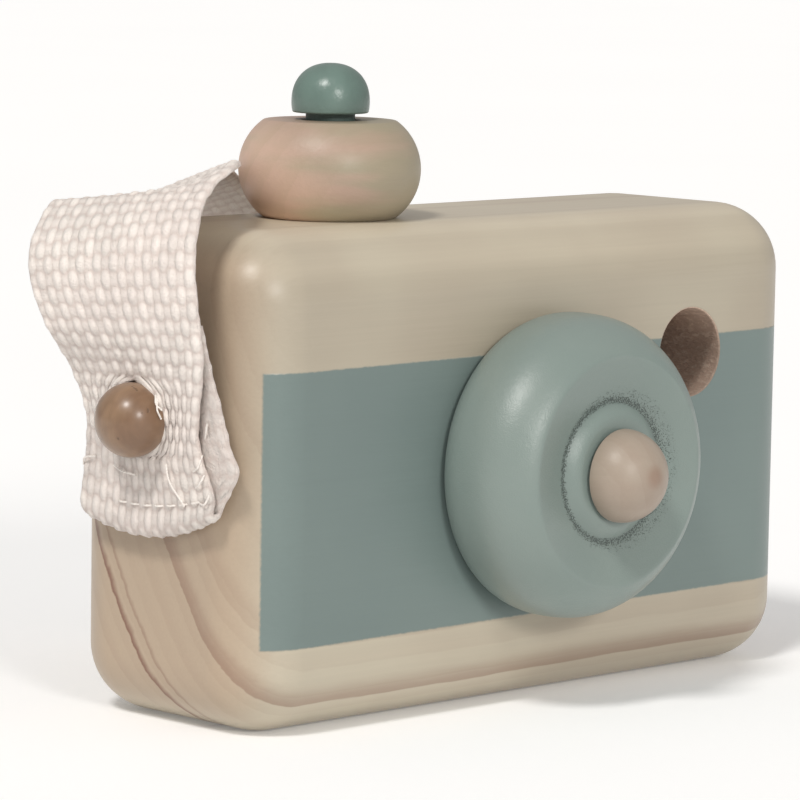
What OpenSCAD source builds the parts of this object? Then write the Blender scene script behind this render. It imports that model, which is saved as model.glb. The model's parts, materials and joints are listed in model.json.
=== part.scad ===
// Wooden toy camera: a rounded pine block with a turning lens wheel, a sprung shutter
// button on a round knob, a drilled sight hole and a cotton strap buttoned on two pegs.
// Millimetres. The origin is at the middle of the block's underside, the lens faces -Y,
// +X is to the right as seen from the front and +Z is up.

/* [Body block] */
// Width of the block
body_w = 128; // [120:1:140]
// Depth of the block from front to back
body_d = 45.5; // [42:0.5:52]
// Height of the block
body_h = 79.5; // [76:0.5:90]
// Round-over of every edge and corner of the block
edge_r = 11.2; // [8:0.1:14]

/* [Sight hole] */
// Diameter of the sight hole drilled through the block
sight_d = 14.8; // [12:0.1:16]
// Distance of the sight hole's middle from the block's right side
sight_from_side = 28.5; // [27:0.5:31]
// Distance of the sight hole's middle below the block's top
sight_from_top = 24; // [22:0.5:26]

/* [Lens wheel] */
// Diameter of the wheel at its belly
lens_d = 49.8; // [46:0.2:52]
// Depth of the wheel from its back to its rim
lens_depth = 16.8; // [15:0.1:19]
// Diameter of the wheel's flat back
lens_back_d = 45.2; // [42:0.2:45.8]
// Distance of the belly from the wheel's back
lens_belly = 4.6; // [3:0.1:8]
// Diameter of the front rim, where the shoulder ends
lens_rim_d = 38.6; // [36:0.2:42]
// Width of the flat lip on the rim
lens_lip = 0.6; // [0.4:0.1:2]
// Diameter of the lowest ring of the dished front
lens_valley_d = 22.4; // [20:0.2:26]
// How late the shoulder turns in towards the rim, as a power
shoulder_power = 3; // [1.5:0.5:4]
// Depth of the dished front below the rim
lens_dish = 1.9; // [1:0.1:3]
// Diameter of the flat face of the hub
lens_hub_d = 16.4; // [15.5:0.1:18]
// Depth of the hub's face below the rim
lens_hub_drop = 0.3; // [0:0.1:0.9]
// Height of the wheel's axis above the table
lens_up = 39.8; // [38:0.1:42]

/* [Lens peg] */
// Diameter of the peg's round head
peg_head_d = 15.2; // [14:0.1:16]
// Diameter of the peg's shank
peg_shank_d = 8; // [6:0.1:9]
// Length of the shank inside the block
peg_hold = 22; // [15:0.5:26]

/* [Shutter knob] */
// Diameter of the knob at its belly
knob_d = 29.6; // [28:0.1:32]
// Height of the knob
knob_h = 15.8; // [14:0.1:18]
// Diameter of the knob's flat top and underside
knob_flat_d = 21.4; // [20:0.1:25]
// Diameter of the hole that the button's stem passes through
knob_bore_d = 9.2; // [8.8:0.1:10]
// Distance of the knob's axis from the block's left side
knob_from_side = 36.5; // [35:0.1:40]
// Diameter of the spigot under the knob, glued into the block
spigot_d = 17; // [16:0.1:18]
// Length of the spigot
spigot_len = 6; // [5:0.1:8]

/* [Shutter button] */
// Diameter of the round cap
cap_d = 12.7; // [12:0.1:15]
// Height of the cap
cap_h = 8; // [7.2:0.1:9]
// Gap under the cap, which is also how far the button can travel
cap_gap = 1.15; // [1:0.05:2]
// Diameter of the stem
stem_d = 8; // [7:0.1:8.2]
// Depth of the stem's glued seat in the cap
stem_seat = 4.5; // [3:0.1:5]
// Diameter of the flange that keeps the plunger in the block
flange_d = 13; // [12:0.1:13.4]
// Thickness of the flange
flange_h = 3; // [2:0.1:4]
// Diameter of the nose that centres the spring
nose_d = 5; // [4:0.1:6]
// Length of the nose below the flange
nose_len = 7; // [5:0.1:9]

/* [Button spring] */
// Length of the spring with the button at rest
spring_len = 15; // [13:0.5:18]
// Diameter of the spring at the middle of its wire
spring_d = 9.4; // [8.6:0.1:10]
// Diameter of the spring's wire
wire_d = 0.9; // [0.6:0.1:1]
// Number of curls
spring_curls = 6; // [4:1:8]
// Diameter of the spring's chamber in the block
chamber_d = 14.2; // [14:0.1:15]

/* [Strap pegs] */
// Diameter of the ball on each strap peg
ball_d = 11.8; // [11:0.1:12.4]
// Distance of the ball's middle from the block's side
ball_out = 7.3; // [7:0.1:8.5]
// Diameter of each peg's shank
ball_shank_d = 7; // [5:0.1:8]
// Length of each shank inside the block
ball_hold = 15; // [10:0.5:18]
// Distance of the pegs below the block's top
ball_from_top = 29.7; // [27:0.1:32]
// How far the left peg stands forward of the block's middle
left_ball_forward = 2; // [0:0.1:2.5]
// How far the right peg stands back from the block's middle
right_ball_back = 8; // [0:0.1:9]

/* [Strap] */
// Width of the cotton webbing
strap_w = 32.8; // [30:0.2:34]
// Thickness of one layer of the webbing
strap_t = 2; // [1.4:0.1:2.2]
// Length of webbing past each peg's middle
strap_tail = 16; // [13:0.1:18]
// Length of each end that is turned back and sewn down as a second layer
strap_turn = 27; // [22:0.5:30]
// How much longer the buttonhole is than wide, towards the strap's end
buttonhole_slack = 2.8; // [1.5:0.1:4]

/* [Hidden] */
$fn = 64;

// How far each cutting shape runs past the face that it cuts
overrun = 1;
// Clearance of a glued peg or spigot in its hole, all round
glue_gap = 0.05;
// Clearance of the wheel's bore round the peg, all round
run_gap = 0.08;
// Gap between the block's front and the wheel's back
lens_gap = 0.4;
// Gap between the wheel's hub and the peg's head
head_gap = 0.6;
// Gap between a stop and what rests against it
stop_gap = 0.2;
// Gap at each end of the spring
spring_gap = 0.1;
// Depth left free under a glued shank
blind_gap = 0.5;
// Gap between the block's sides and the strap's sewn ends
strap_gap = 0.3;
// Clearance of the stretched buttonhole round the ball, all round
buttonhole_gap = 0.2;

// Places worked out from the sizes above
front_y = -body_d / 2;
back_y = body_d / 2;
left_x = -body_w / 2;
right_x = body_w / 2;
sight_x = right_x - sight_from_side;
sight_z = body_h - sight_from_top;
knob_x = left_x + knob_from_side;
ball_z = body_h - ball_from_top;
left_ball_y = -left_ball_forward;
right_ball_y = right_ball_back;
head_y = front_y - lens_gap - lens_depth + lens_hub_drop - head_gap;
flange_top = body_h - spigot_len - stop_gap;
spring_top = flange_top - flange_h - spring_gap;
chamber_floor = spring_top - spring_len - spring_gap;
cap_z = body_h + knob_h + cap_gap;
strap_seat = strap_gap + strap_t + strap_t / 2;

// Steps in one rounded quarter of a turned outline
arc_steps = 8;

function unit(v) = v / norm(v);

// Points of a quarter ellipse about a middle, from one angle to another
function quarter(middle, half, from, to) = [
    for (i = [0 : arc_steps])
        let (a = from + (to - from) * i / arc_steps)
        [middle[0] + half[0] * cos(a), middle[1] + half[1] * sin(a)]
];

// A soft step between two heights, as shares from 0 to 1
function ease(t) = (1 - cos(180 * t)) / 2;

module quarter_rod(r, length) {
    rotate_extrude(angle = 90) square([r, length]);
}

module ball_octant(r) {
    rotate_extrude(angle = 90) intersection() {
        circle(r);
        square(r);
    }
}

// One corner of the block with the halves of the three edges that meet there
module rounded_octant(half, r) {
    core = half - [r, r, r];
    cube(core);
    translate([core[0], 0, 0]) cube([r, core[1], core[2]]);
    translate([0, core[1], 0]) cube([core[0], r, core[2]]);
    translate([0, 0, core[2]]) cube([core[0], core[1], r]);
    translate([core[0], core[1], 0]) quarter_rod(r, core[2]);
    translate([0, core[1], core[2]]) rotate([90, 0, 90]) quarter_rod(r, core[0]);
    translate(core) rotate([90, 0, 0]) quarter_rod(r, core[1]);
    translate(core) ball_octant(r);
}

module rounded_block(size, r) {
    for (x = [0, 1], y = [0, 1], z = [0, 1])
        mirror([x, 0, 0]) mirror([0, y, 0]) mirror([0, 0, z]) rounded_octant(size / 2, r);
}

module body_block() {
    shank_r = peg_shank_d / 2 + glue_gap;
    ball_shank_r = ball_shank_d / 2 + glue_gap;
    color("burlywood") difference() {
        translate([0, 0, body_h / 2]) rounded_block([body_w, body_d, body_h], edge_r);
        translate([sight_x, back_y + overrun, sight_z]) rotate([90, 0, 0])
            cylinder(h = body_d + 2 * overrun, d = sight_d);
        translate([0, front_y - overrun, lens_up]) rotate([-90, 0, 0])
            cylinder(h = peg_hold + blind_gap + overrun, r = shank_r);
        translate([left_x - overrun, left_ball_y, ball_z]) rotate([0, 90, 0])
            cylinder(h = ball_hold + blind_gap + overrun, r = ball_shank_r);
        translate([right_x + overrun, right_ball_y, ball_z]) rotate([0, -90, 0])
            cylinder(h = ball_hold + blind_gap + overrun, r = ball_shank_r);
        translate([knob_x, 0, body_h - spigot_len - stop_gap])
            cylinder(h = spigot_len + stop_gap + overrun, r = spigot_d / 2 + glue_gap);
        translate([knob_x, 0, chamber_floor])
            cylinder(h = body_h - chamber_floor + overrun, d = chamber_d);
    }
}

module lens_wheel() {
    back_r = lens_back_d / 2;
    rim_r = lens_rim_d / 2;
    lip_r = rim_r - lens_lip;
    valley_r = lens_valley_d / 2;
    hub_r = lens_hub_d / 2;
    bore_r = peg_shank_d / 2 + run_gap;
    valley_y = lens_depth - lens_dish;
    hub_y = lens_depth - lens_hub_drop;
    side = quarter([back_r, lens_belly], [lens_d / 2 - back_r, lens_belly], -90, 0);
    shoulder = [
        for (i = [1 : arc_steps])
            let (t = i / arc_steps)
            [
                lens_d / 2 + (rim_r - lens_d / 2) * pow(t, shoulder_power),
                lens_belly + (lens_depth - lens_belly) * t
            ]
    ];
    dish = [
        for (i = [0 : arc_steps])
            let (t = i / arc_steps)
            [lip_r + (valley_r - lip_r) * t, lens_depth + (valley_y - lens_depth) * ease(t)]
    ];
    hub = [
        for (i = [1 : arc_steps])
            let (t = i / arc_steps)
            [valley_r + (hub_r - valley_r) * t, valley_y + (hub_y - valley_y) * ease(t)]
    ];
    outline = concat([[bore_r, 0]], side, shoulder, dish, hub, [[bore_r, hub_y]]);
    color("darkseagreen")
        translate([0, front_y - lens_gap, lens_up]) rotate([90, 0, 0])
            rotate_extrude() polygon(outline);
}

module lens_peg() {
    color("wheat") translate([0, 0, lens_up]) {
        translate([0, head_y, 0]) rotate([90, 0, 0]) rotate_extrude() intersection() {
            circle(d = peg_head_d);
            square(peg_head_d / 2);
        }
        translate([0, head_y, 0]) rotate([-90, 0, 0])
            cylinder(h = front_y + peg_hold - head_y, d = peg_shank_d);
    }
}

module shutter_knob() {
    bulge = (knob_d - knob_flat_d) / 2;
    side_r = (pow(bulge, 2) + pow(knob_h / 2, 2)) / (2 * bulge);
    color("wheat") translate([knob_x, 0, body_h]) difference() {
        union() {
            rotate_extrude() intersection() {
                translate([knob_d / 2 - side_r, knob_h / 2]) circle(side_r);
                square([knob_d / 2, knob_h]);
            }
            translate([0, 0, -spigot_len]) cylinder(h = spigot_len, d = spigot_d);
        }
        translate([0, 0, -spigot_len - overrun])
            cylinder(h = spigot_len + knob_h + 2 * overrun, d = knob_bore_d);
    }
}

module button_cap() {
    color("cadetblue") translate([knob_x, 0, cap_z]) difference() {
        rotate_extrude() intersection() {
            translate([0, cap_h - cap_d / 2]) circle(d = cap_d);
            square([cap_d / 2, cap_h]);
        }
        translate([0, 0, -overrun])
            cylinder(h = stem_seat + overrun, r = stem_d / 2 + glue_gap);
    }
}

module button_plunger() {
    flange_floor = flange_top - flange_h;
    color("tan") translate([knob_x, 0, 0]) {
        translate([0, 0, flange_top]) cylinder(h = cap_z + stem_seat - flange_top, d = stem_d);
        translate([0, 0, flange_floor]) cylinder(h = flange_h, d = flange_d);
        translate([0, 0, flange_floor - nose_len]) cylinder(h = nose_len, d = nose_d);
    }
}

// Rings and sides of the spring's wire
curl_rings = 8;
wire_sides = 6;
spring_rings = spring_curls * curl_rings;
spring_rise = spring_len - wire_d;

function spring_point(i) =
    let (a = 360 * i / curl_rings)
    [spring_d / 2 * cos(a), spring_d / 2 * sin(a), wire_d / 2 + spring_rise * i / spring_rings];

function wire_ring(i) =
    let (
        a = 360 * i / curl_rings,
        out = [cos(a), sin(a), 0],
        along = unit(spring_point(i + 1) - spring_point(i - 1)),
        up = unit(cross(out, along))
    )
    [
        for (k = [0 : wire_sides - 1])
            let (b = 360 * k / wire_sides)
            spring_point(i) + wire_d / 2 * (cos(b) * out + sin(b) * up)
    ];

// Triangles of the skin between rings of equal count, with a flat fan on each end
function tube_faces(rings, sides) = concat(
    [
        for (i = [0 : rings - 2], k = [0 : sides - 1], half = [0, 1])
            let (
                a = i * sides + k,
                b = i * sides + (k + 1) % sides,
                c = b + sides,
                d = a + sides
            )
            half == 0 ? [a, b, c] : [a, c, d]
    ],
    [for (k = [1 : sides - 2]) [0, k + 1, k]],
    [for (k = [1 : sides - 2]) let (a = (rings - 1) * sides) [a, a + k, a + k + 1]]
);

spring_self_gap = min([
    for (i = [0 : spring_rings], j = [i + curl_rings / 2 : spring_rings])
        norm(spring_point(i) - spring_point(j))
]) - wire_d;
echo(str("Least gap between the spring's curls: ", spring_self_gap, " mm"));

module button_spring() {
    color("silver") translate([knob_x, 0, chamber_floor + spring_gap])
        polyhedron(
            points = [for (i = [0 : spring_rings]) each wire_ring(i)],
            faces = tube_faces(spring_rings + 1, wire_sides)
        );
}

// A turned peg with a ball head, standing on the block's left side at the origin
module strap_peg() {
    rotate([0, -90, 0]) {
        translate([0, 0, ball_out]) sphere(d = ball_d);
        translate([0, 0, -ball_hold]) cylinder(h = ball_hold + ball_out, d = ball_shank_d);
    }
}

module strap_peg_left() {
    color("saddlebrown") translate([left_x, left_ball_y, ball_z]) strap_peg();
}

module strap_peg_right() {
    color("saddlebrown") translate([right_x, right_ball_y, ball_z]) mirror([1, 0, 0]) strap_peg();
}

// Route of the strap. Each row holds a place on the strap's front edge, measured from the
// group's anchor, and the direction across the strap to its back edge.
route_left_peg = [
    [[0, 0, -strap_tail], [0, 1, 0]],
    [[-0.3, 0, -7], [0.01, 1, 0]],
    [[-1, 0, 0], [0.02, 1, 0]]
];
route_over_corner = [
    [[-6.2, 0, -21.5], [0, 1, -0.03]],
    [[-8, 0, -13.5], [-0.1, 1, -0.06]],
    [[-8.3, 1, -5.5], [-0.17, 1, -0.08]],
    [[-6.4, 2.5, 1.5], [-0.18, 1, -0.12]],
    [[-2.7, 5.8, 6.3], [-0.03, 1, -0.11]],
    [[3, 9.9, 8.2], [-0.06, 1, -0.35]],
    [[11.1, 16.4, 8.6], [-0.29, 1, -0.41]]
];
route_past_knob = [
    [[-0.4, -5.9, 7.8], [-0.51, 1, -0.45]],
    [[11.4, 4.2, 5.6], [-0.47, 1, -0.36]]
];
route_down_back = [
    [[7.2, 1.9, 0], [-0.42, 1, -0.27]],
    [[12.6, 5, -9.5], [-0.33, 1, -0.25]],
    [[15.4, 6, -24.5], [-0.2, 1, -0.12]]
];
route_on_table = [
    [[-10, 6, 38], [-0.05, 1, -0.03]],
    [[-9, 6, 22], [0, 1, 0]],
    [[-4, 6, 7], [0, 1, 0]],
    [[7, 6, 1.6], [0, 1, 0]],
    [[22, 6, 1.6], [0, 1, 0]],
    [[38, 6, 1.6], [0, 1, 0]],
    [[52, 6, 1.6], [0, 1, 0]],
    [[60, 6, 3], [0, 1, 0]],
    [[63.5, 6, 7], [0, 1, 0]],
    [[60, 6, 11], [0, 1, 0]],
    [[52, 6, 10], [0, 1, 0]],
    [[38, 6, 6], [0, 1, 0]],
    [[22, 6, 5], [0, 1, 0]],
    [[9, 6, 6], [0, 1, 0]],
    [[2.5, 6, 8.5], [0, 1, 0]],
    [[0, 6, 13], [0, 1, 0]],
    [[3.5, 6, 17.5], [0, 1, 0]],
    [[11, 6, 21], [0, 1, -0.03]],
    [[20.5, 7, 28], [0.02, 1, -0.12]],
    [[30.5, 9.5, 37.5], [0.1, 1, -0.3]],
    [[39.5, 12.5, 48], [0.25, 1, -0.6]]
];
route_round_side = [
    [[-16, 13, -11], [0.5, 1, -0.9]],
    [[-7, 12.5, -3], [0.5, 0.4, -1.2]],
    [[-0.5, 5, -0.5], [0.25, 0.1, -1]]
];
route_right_peg = [
    [[0, 16, 0], [0.06, 0, -1]],
    [[0, 8, 0], [0, 0, -1]],
    [[0, 0, 0], [0, 0, -1]],
    [[0, -strap_tail, 0], [0, 0, -1]]
];

// Rows of one group as the strap's middle line and its direction across
function middle_rows(rows, anchor) = [
    for (row = rows)
        let (across = unit(row[1]))
        [anchor + row[0] + across * strap_w / 2, across]
];

strap_rows = concat(
    middle_rows(route_left_peg, [left_x - strap_seat, left_ball_y - strap_w / 2, ball_z]),
    middle_rows(route_over_corner, [left_x, left_ball_y - strap_w / 2, body_h]),
    middle_rows(route_past_knob, [knob_x - knob_d / 2, knob_d / 2, body_h]),
    middle_rows(route_down_back, [knob_x, back_y, body_h]),
    middle_rows(route_on_table, [0, back_y, 0]),
    middle_rows(route_round_side, [right_x, back_y, ball_z + strap_w / 2]),
    middle_rows(route_right_peg, [right_x + strap_seat, right_ball_y, ball_z + strap_w / 2])
);

// Rings between two neighbouring rows of the route
row_steps = 3;
last_row = len(strap_rows) - 1;
strap_rings = last_row * row_steps + 1;

// One entry of a row, carried on in a straight line past the first and last rows
function row_at(i, entry) =
    i < 0 ? 2 * strap_rows[0][entry] - strap_rows[1][entry] :
    i > last_row ? 2 * strap_rows[last_row][entry] - strap_rows[last_row - 1][entry] :
    strap_rows[i][entry];

// A smooth curve through the rows, and its direction
function along_rows(i, t, entry) =
    let (a = row_at(i - 1, entry), b = row_at(i, entry), c = row_at(i + 1, entry), d = row_at(i + 2, entry))
    (2 * b + (c - a) * t + (2 * a - 5 * b + 4 * c - d) * t * t + (3 * b - a - 3 * c + d) * t * t * t) / 2;

function heading(i, t) =
    let (a = row_at(i - 1, 0), b = row_at(i, 0), c = row_at(i + 1, 0), d = row_at(i + 2, 0))
    unit((c - a) + 2 * (2 * a - 5 * b + 4 * c - d) * t + 3 * (3 * b - a - 3 * c + d) * t * t);

strap_start = strap_rows[0][0];
strap_end = strap_rows[last_row][0];

// Four corners of the strap's section, with the turned-back layer on its inner side at each end
function strap_ring(ring) =
    let (
        i = min(floor(ring / row_steps), last_row - 1),
        t = ring / row_steps - i,
        middle = along_rows(i, t, 0),
        across = unit(along_rows(i, t, 1)),
        ahead = heading(i, t),
        out = cross(ahead, across),
        side = across * strap_w / 2 / norm(out),
        from_end = min(norm(middle - strap_start), norm(middle - strap_end)),
        layers = from_end < strap_turn ? 2 : 1,
        outer = unit(out) * strap_t / 2,
        inner = unit(out) * (strap_t / 2 - layers * strap_t)
    )
    [middle - side + outer, middle + side + outer, middle + side + inner, middle - side + inner];

// Cutter for a buttonhole, standing on the block's side and longer along -X
module buttonhole() {
    hole_d = ball_d + 2 * buttonhole_gap;
    depth = 2 * (ball_out + strap_t);
    cylinder(h = depth, d = hole_d);
    translate([-buttonhole_slack, -hole_d / 2, 0]) cube([buttonhole_slack, hole_d, depth]);
    translate([-buttonhole_slack, 0, 0]) cylinder(h = depth, d = hole_d);
}

module strap() {
    color("linen") difference() {
        polyhedron(
            points = [for (ring = [0 : strap_rings - 1]) each strap_ring(ring)],
            faces = tube_faces(strap_rings, len(strap_ring(0)))
        );
        translate([left_x, left_ball_y, ball_z]) rotate([0, -90, 0]) buttonhole();
        translate([right_x, right_ball_y, ball_z]) rotate([90, 0, 90]) buttonhole();
    }
}

body_block();
lens_wheel();
lens_peg();
shutter_knob();
button_cap();
button_plunger();
button_spring();
strap_peg_left();
strap_peg_right();
strap();
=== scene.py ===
import json
import math

import bmesh
import bpy
import numpy as np
from mathutils import Matrix, Vector


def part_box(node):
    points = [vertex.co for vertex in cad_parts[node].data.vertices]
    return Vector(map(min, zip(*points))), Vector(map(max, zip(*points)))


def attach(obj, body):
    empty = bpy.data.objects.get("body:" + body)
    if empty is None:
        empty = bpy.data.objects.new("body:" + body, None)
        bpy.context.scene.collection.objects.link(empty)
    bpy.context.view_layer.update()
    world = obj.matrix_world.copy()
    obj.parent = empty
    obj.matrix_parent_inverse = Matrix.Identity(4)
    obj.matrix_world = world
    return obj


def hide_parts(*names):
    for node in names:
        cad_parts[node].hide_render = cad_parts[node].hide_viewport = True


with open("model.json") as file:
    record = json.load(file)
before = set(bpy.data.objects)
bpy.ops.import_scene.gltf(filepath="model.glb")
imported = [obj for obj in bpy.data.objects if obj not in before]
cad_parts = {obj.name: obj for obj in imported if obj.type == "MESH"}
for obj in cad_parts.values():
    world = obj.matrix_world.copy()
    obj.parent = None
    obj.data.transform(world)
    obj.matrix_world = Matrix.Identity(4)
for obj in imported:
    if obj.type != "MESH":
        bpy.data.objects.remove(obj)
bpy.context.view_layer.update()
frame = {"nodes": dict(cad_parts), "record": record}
MM = 0.001


def node_box(node):
    """Lowest and highest corner of a CAD node as vectors."""
    return tuple(Vector(corner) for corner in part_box(node))


def joint_point(name):
    """A point on a joint's axis."""
    joint = next(j for j in frame["record"]["behaviour"]["joints"] if j["name"] == name)
    return Vector(joint["pos_m"])


BLOCK_LOW, BLOCK_HIGH = node_box("body_block")
SIGHT = next(m for m in frame["record"]["mounts"] if m["name"] == "viewfinder")
LENS_AXIS = joint_point("lens_turn")
BUTTON_AXIS = joint_point("shutter_press")


# Camera, light and floor

CAMERA_AZIMUTH = math.radians(-44.51)
CAMERA_ELEVATION = math.radians(6.78)
CAMERA_ROLL = math.radians(0.96)
CAMERA_PLACE = Vector((-6.80, 47.32, 765.05)) * MM
CAMERA_LENS_MM = 204.48
SENSOR_MM = 36
CLIP_START = 0.01


def make_camera():
    """The photograph's viewpoint.

    CAMERA_PLACE is sideways, up and back along the camera's own axes."""
    back = Vector((
        math.sin(CAMERA_AZIMUTH) * math.cos(CAMERA_ELEVATION),
        -math.cos(CAMERA_AZIMUTH) * math.cos(CAMERA_ELEVATION),
        math.sin(CAMERA_ELEVATION),
    ))
    level = Vector((0, 0, 1)).cross(back).normalized()
    upright = back.cross(level)
    right = level * math.cos(CAMERA_ROLL) + upright * math.sin(CAMERA_ROLL)
    up = upright * math.cos(CAMERA_ROLL) - level * math.sin(CAMERA_ROLL)
    axes = Matrix((right, up, back)).transposed()
    data = bpy.data.cameras.new("photo_camera")
    data.lens = CAMERA_LENS_MM
    data.sensor_width = SENSOR_MM
    data.clip_start = CLIP_START
    camera = bpy.data.objects.new("photo_camera", data)
    camera.matrix_world = Matrix.Translation(axes @ CAMERA_PLACE) @ axes.to_4x4()
    bpy.context.scene.collection.objects.link(camera)
    bpy.context.scene.camera = camera


SKY_STRENGTH = 0.43
SKY_COLOUR = (1.0, 0.99, 0.98, 1)
LAMP_COLOUR = (1.0, 0.98, 0.95)
# Lamps by name: where the light comes from, strength, softness in degrees.
LAMPS = (
    ("key_light", (-0.58, -0.20, 0.785), 1.6, 12),
    ("front_light", (-0.30, -0.88, 0.37), 1.05, 12),
)


def make_light():
    """A pale even sky and two soft lamps."""
    world = bpy.data.worlds.new("studio")
    world.use_nodes = True
    sky = world.node_tree.nodes["Background"]
    sky.inputs["Color"].default_value = SKY_COLOUR
    sky.inputs["Strength"].default_value = SKY_STRENGTH
    bpy.context.scene.world = world
    for name, comes_from, strength, softness in LAMPS:
        data = bpy.data.lights.new(name, "SUN")
        data.energy = strength
        data.angle = math.radians(softness)
        data.color = LAMP_COLOUR
        lamp = bpy.data.objects.new(name, data)
        lamp.rotation_euler = Vector(comes_from).to_track_quat("Z", "Y").to_euler()
        bpy.context.scene.collection.objects.link(lamp)
    bpy.context.scene.view_settings.view_transform = "Standard"


FLOOR_HALF = 8.0
FLOOR_GLOW = 0.12


def make_floor(finish):
    """The wide flat floor, which is no part of the toy."""
    bm = bmesh.new()
    bmesh.ops.create_grid(bm, x_segments=1, y_segments=1, size=FLOOR_HALF)
    mesh = bpy.data.meshes.new("floor")
    bm.to_mesh(mesh)
    bm.free()
    mesh.materials.append(finish)
    floor = bpy.data.objects.new("floor", mesh)
    bpy.context.scene.collection.objects.link(floor)


# Shader writing


class Value:
    """A shader value. Arithmetic on it adds Math nodes to its finish."""

    def __init__(self, finish, socket):
        self.finish = finish
        self.socket = socket

    def math(self, operation, *values):
        inputs = dict(enumerate(values))
        return self.finish.node("ShaderNodeMath", {"operation": operation}, inputs)

    def __add__(self, other):
        return self.math("ADD", self, other)

    def __sub__(self, other):
        return self.math("SUBTRACT", self, other)

    def __rsub__(self, other):
        return self.math("SUBTRACT", other, self)

    def __mul__(self, other):
        return self.math("MULTIPLY", self, other)

    def __truediv__(self, other):
        return self.math("DIVIDE", self, other)

    def __pow__(self, other):
        return self.math("POWER", self, other)

    def __abs__(self):
        return self.math("ABSOLUTE", self)

    __radd__ = __add__
    __rmul__ = __mul__

    def floor(self):
        return self.math("FLOOR", self)

    def fraction(self):
        return self.math("FRACT", self)

    def cosine(self):
        return self.math("COSINE", self)

    def most(self, other):
        return self.math("MAXIMUM", self, other)

    def rise(self, low, high):
        """A soft step from 0 at low to 1 at high."""
        settings = {"interpolation_type": "SMOOTHSTEP"}
        inputs = {"Value": self, "From Min": low, "From Max": high}
        return self.finish.node("ShaderNodeMapRange", settings, inputs)


class Finish:
    """A material under construction, with its Principled shader."""

    def __init__(self, name, **constants):
        self.material = bpy.data.materials.new(name)
        self.material.use_nodes = True
        self.tree = self.material.node_tree
        self.shader = self.tree.nodes["Principled BSDF"]
        for socket, value in constants.items():
            self.shader.inputs[socket.replace("_", " ")].default_value = value

    def connect(self, socket, value):
        if isinstance(value, Value):
            self.tree.links.new(value.socket, socket)
        else:
            socket.default_value = value

    def node(self, kind, settings=None, inputs=None, output=0):
        """Adds a node with its settings, then the values or links of its sockets."""
        node = self.tree.nodes.new(kind)
        for name, value in (settings or {}).items():
            setattr(node, name, value)
        for name, value in (inputs or {}).items():
            self.connect(node.inputs[name], value)
        return Value(self, node.outputs[output])

    def place(self):
        """Object coordinates in millimetres as a vector and as x, y and z."""
        metres = self.node("ShaderNodeTexCoord", output="Object")
        vector = self.node(
            "ShaderNodeVectorMath", {"operation": "SCALE"}, {0: metres, "Scale": 1 / MM}
        )
        split = self.node("ShaderNodeSeparateXYZ", inputs={0: vector}).socket.node
        return vector, *(Value(self, split.outputs[axis]) for axis in "XYZ")

    def vector(self, x, y, z):
        return self.node("ShaderNodeCombineXYZ", inputs={0: x, 1: y, 2: z})

    def noise(self, vector, scale, detail=2.0, roughness=0.5):
        inputs = {"Vector": vector, "Scale": scale, "Detail": detail, "Roughness": roughness}
        return self.node("ShaderNodeTexNoise", inputs=inputs)

    def chance(self, value):
        """A random number from 0 to 1 for each whole value."""
        return self.node("ShaderNodeTexWhiteNoise", {"noise_dimensions": "1D"}, {"W": value})

    def mix(self, first, second, factor):
        """Blends two colours."""
        settings = {"data_type": "RGBA", "clamp_factor": True}
        return self.node("ShaderNodeMix", settings, {0: factor, 6: first, 7: second}, output=2)

    def shade(self, colour, factor):
        """Multiplies a colour by a number."""
        grey = self.vector(factor, factor, factor)
        settings = {"data_type": "RGBA", "blend_type": "MULTIPLY"}
        return self.node("ShaderNodeMix", settings, {0: 1.0, 6: colour, 7: grey}, output=2)

    def finish(self, colour=None, roughness=None, height=None, depth=0.1, coat=None):
        """Links what changes over the surface, with height in millimetres times depth."""
        linked = {"Base Color": colour, "Roughness": roughness, "Coat Weight": coat}
        for socket, value in linked.items():
            if value is not None:
                self.connect(self.shader.inputs[socket], value)
        if height is not None:
            inputs = {"Strength": 1.0, "Distance": depth * MM, "Height": height}
            bump = self.node("ShaderNodeBump", inputs=inputs)
            self.connect(self.shader.inputs["Normal"], bump)
        return self.material


def rgb(red, green, blue):
    return (red, green, blue, 1.0)


# Wood

LINE_EDGE = 0.3
FAINT_RING = 0.16
# Scales of the grain along and across the fibres, and how far the growth lines wander.
SLOW_GRAIN, SLOW_WANDER = (0.006, 0.03), 3.0
FINE_GRAIN, FINE_WANDER = (0.1, 0.6), 0.9
FIBRE_GRAIN = (0.03, 1.6)


def growth_line(radius, outer, width):
    """A dark growth line that fades inwards from its sharp outer edge."""
    return radius.rise(outer - width, outer) * (1.0 - radius.rise(outer, outer + LINE_EDGE))


def wood_figure(finish, along, across, upward, pith, spacing, marked=()):
    """Dark growth lines round a pith line, and fine fibres, as strengths from 0 to 1.

    The marked lines are given by radius, width and strength."""

    def grain(lengthways, crossways):
        return finish.vector(along * lengthways, across * crossways, upward * crossways)

    wander = (finish.noise(grain(*SLOW_GRAIN), 1.0, 3.0) - 0.5) * SLOW_WANDER
    wander = wander + (finish.noise(grain(*FINE_GRAIN), 1.0) - 0.5) * FINE_WANDER
    radius = ((across - pith[0]) ** 2.0 + (upward - pith[1]) ** 2.0) ** 0.5 + wander
    ring = radius / spacing
    part = ring.fraction()
    line = part.rise(0.2, 0.93) * (1.0 - part.rise(0.95, 1.0))
    line = line * finish.chance(ring.floor()) * FAINT_RING
    for outer, width, strength in marked:
        line = line + growth_line(radius, outer, width) * strength
    fibre = finish.noise(grain(*FIBRE_GRAIN), 1.0, 4.0, 0.6)
    return line, fibre


BAND_LOW, BAND_HIGH = 14.45, 57.9
BAND_SIDE = 60.1
BAND_BLUR = 0.2
BAND_WOBBLE = 0.24
BAND_TILT = 0.004
SAGE = rgb(0.161, 0.208, 0.198), rgb(0.174, 0.222, 0.209)

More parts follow.
